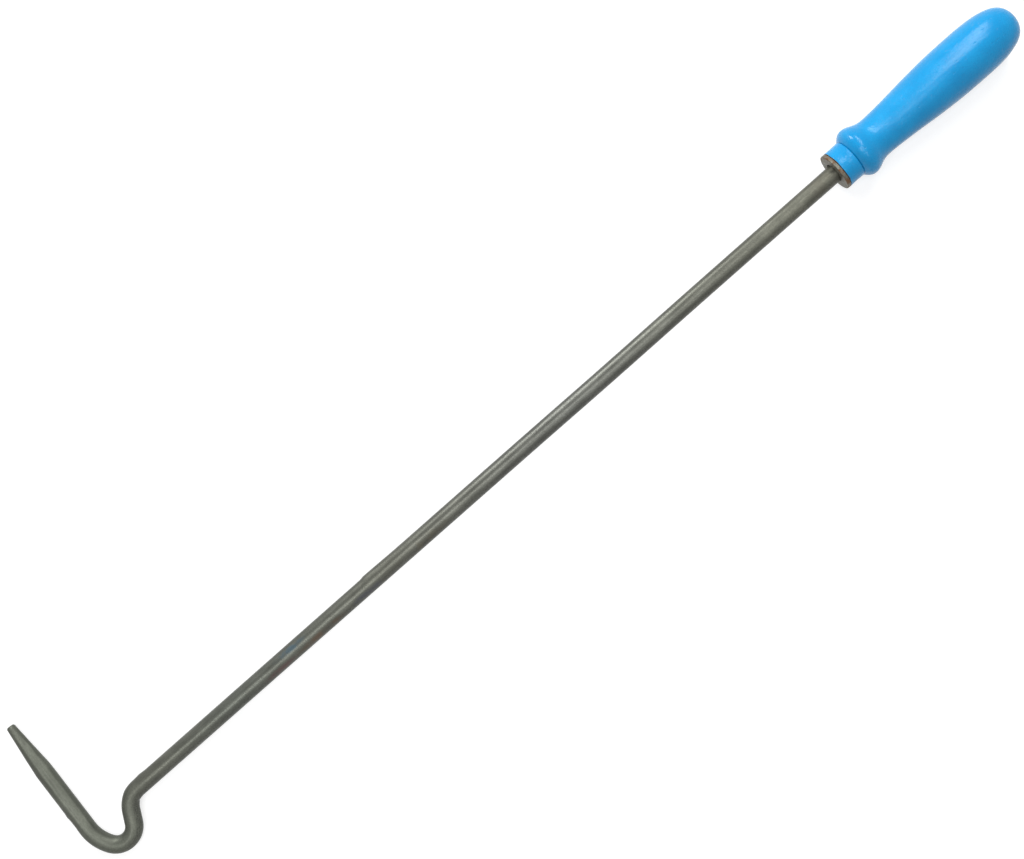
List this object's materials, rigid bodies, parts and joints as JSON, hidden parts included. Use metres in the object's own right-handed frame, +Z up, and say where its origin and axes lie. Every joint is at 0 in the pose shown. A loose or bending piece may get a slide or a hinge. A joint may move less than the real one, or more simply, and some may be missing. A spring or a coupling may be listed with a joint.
{
  "type": "hive tool",
  "caption": "Long hooked hive tool: a round steel bar jogged and bent into a hook with a blunt point, set in a turned, lacquered wooden handle with a ferrule.",
  "frame": {"origin": "centre of the bounding box's bottom face, on the flat surface that the tool lies on", "axes": "+X runs along the tool towards the handle's butt, +Y is the way the hook's leg points, +Z is up, away from the surface; the bar climbs about one degree towards the handle, as it does at rest"},
  "size_m": [0.6772, 0.0964, 0.0313],
  "materials": {
    "bar_steel": "drawn bar with a satin mill finish",
    "washer_steel": "bare and mottled with light rust",
    "ferrule_paint": "satin blue lacquer",
    "handle_lacquer": "satin blue lacquer"
  },
  "bodies": {
    "root": {"hook_bar": "bar_steel", "stop_washer": "washer_steel", "ferrule": "ferrule_paint", "handle": "handle_lacquer"}
  },
  "joints": []
}
